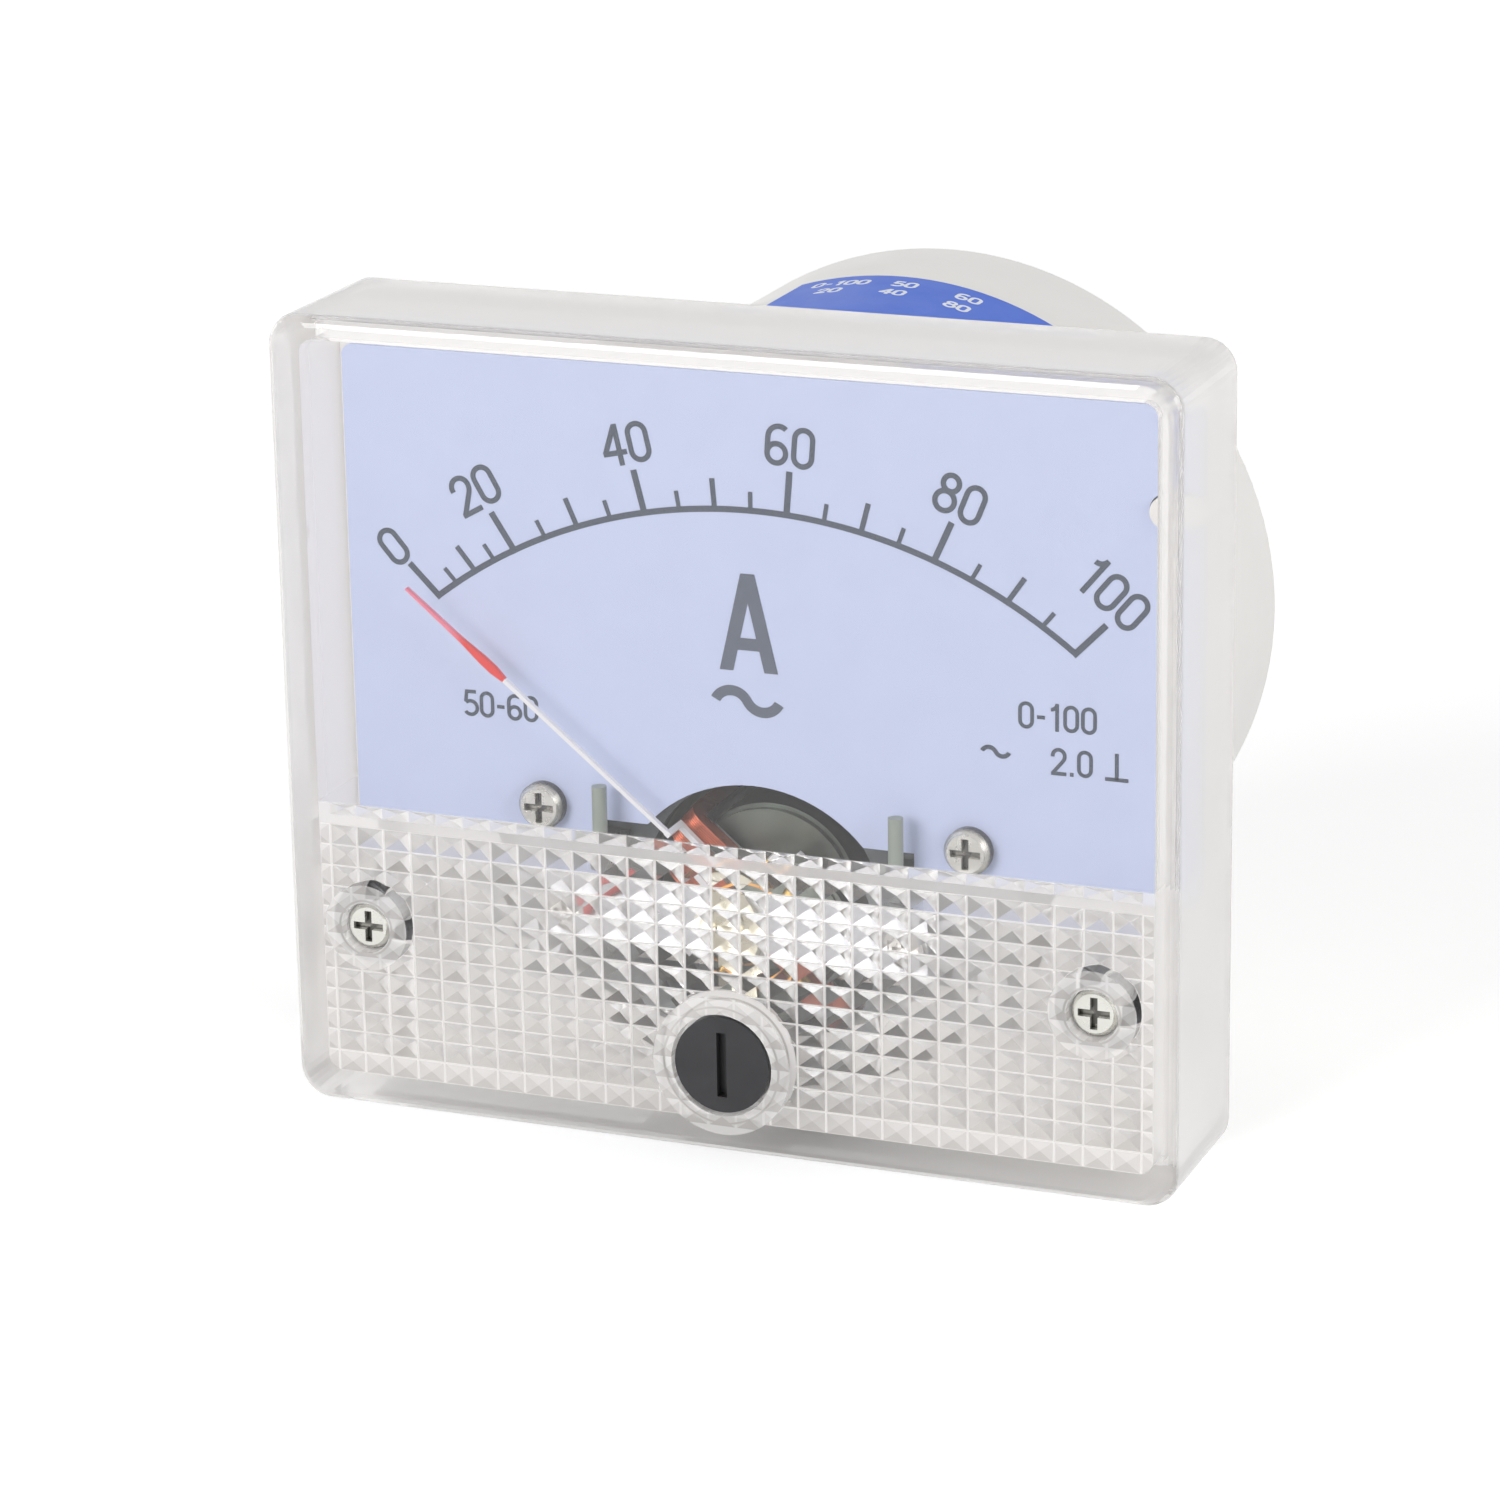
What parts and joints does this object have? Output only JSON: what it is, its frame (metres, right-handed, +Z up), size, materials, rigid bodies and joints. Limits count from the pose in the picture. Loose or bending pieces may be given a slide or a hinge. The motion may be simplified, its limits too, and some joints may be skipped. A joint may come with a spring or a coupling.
{
  "type": "analog panel meter",
  "caption": "Rectangular analog panel meter with a clear prismatic cover, moving-coil movement, zero adjuster and round rear case.",
  "frame": {"origin": "on the round case's axis, in the plane where the cover and flange meet the panel's front face", "axes": "+Z up, the dial faces -Y, +Y runs along the round case into the panel, +X to the right of someone reading the dial"},
  "size_m": [0.064, 0.0566, 0.056],
  "materials": {
    "clear_cover": "clear moulded acrylic",
    "white_plastic": "moulded ABS",
    "label_print": "coated label",
    "dial_paint": "matt enamel with printed scale",
    "plated_steel": "nickel plated",
    "black_plastic": "moulded",
    "brass": "turned",
    "spring_bronze": "rolled strip",
    "light_alloy": "die-cast",
    "jewel_glass": "polished",
    "dark_metal": "dark coating",
    "magnet_alloy": "ground",
    "soft_iron": "soft iron",
    "copper_wire": "enamelled copper",
    "pointer_paint": "white with a red tip",
    "sleeve_plastic": "soft sleeve",
    "board": "laminate",
    "black_epoxy": "moulded",
    "resistor_body": "lacquer",
    "bobbin_plastic": "moulded",
    "red_insulation": "insulated wire"
  },
  "bodies": {
    "case": {"cover": "clear_cover", "base": "white_plastic", "label": "label_print", "dial": "dial_paint", "dial_screws": "plated_steel", "cover_screws": "plated_steel", "mounting_studs": "plated_steel", "front_bridge": "light_alloy", "bridge_screws": "plated_steel", "jewel_screws": "brass", "jewels": "jewel_glass", "lock_nuts": "brass", "movement_frame": "dark_metal", "frame_screws": "plated_steel", "yoke_ring": "soft_iron", "yoke_screws": "plated_steel", "magnet_core": "magnet_alloy", "core_straps": "brass", "rear_bridge": "light_alloy", "rear_bridge_screws": "plated_steel", "rear_hairspring": "spring_bronze", "stop_brackets": "dark_metal", "stop_sleeves": "sleeve_plastic", "circuit_board": "board", "diodes": "black_epoxy", "resistor": "resistor_body", "transformer_core": "soft_iron", "transformer_bobbin": "bobbin_plastic", "secondary_winding": "copper_wire", "primary_winding": "copper_wire", "primary_leads": "copper_wire", "movement_leads": "red_insulation", "solder_lugs": "plated_steel", "terminal_studs": "brass", "terminal_washers": "plated_steel", "terminal_nuts": "plated_steel"},
    "movement": {"coil_former": "light_alloy", "coil_winding": "copper_wire", "spindles": "plated_steel", "pointer": "pointer_paint", "balance_weights": "brass"},
    "adjuster": {"zero_adjuster": "black_plastic", "adjuster_clip": "plated_steel"},
    "lever": {"zero_lever": "brass", "front_hairspring": "spring_bronze"}
  },
  "joints": [
    {"name": "pointer_swing", "type": "hinge", "parent": "case", "child": "movement", "pos_m": [0, 0, -0.0124], "axis": [0, 1, 0], "range_deg": [-2, 100], "stiffness_Nm_per_rad": 0.00001},
    {"name": "zero_turn", "type": "hinge", "parent": "case", "child": "adjuster", "pos_m": [0, -0.012, -0.0217], "axis": [0, 1, 0], "range_deg": [-30, 30]},
    {"name": "lever_turn", "type": "hinge", "parent": "case", "child": "lever", "pos_m": [0, 0, -0.0124], "axis": [0, 1, 0], "range_deg": [-4, 4]}
  ],
  "couplings": [
    {"joint": "lever_turn", "follows": "zero_turn", "ratio": -0.1205}
  ]
}
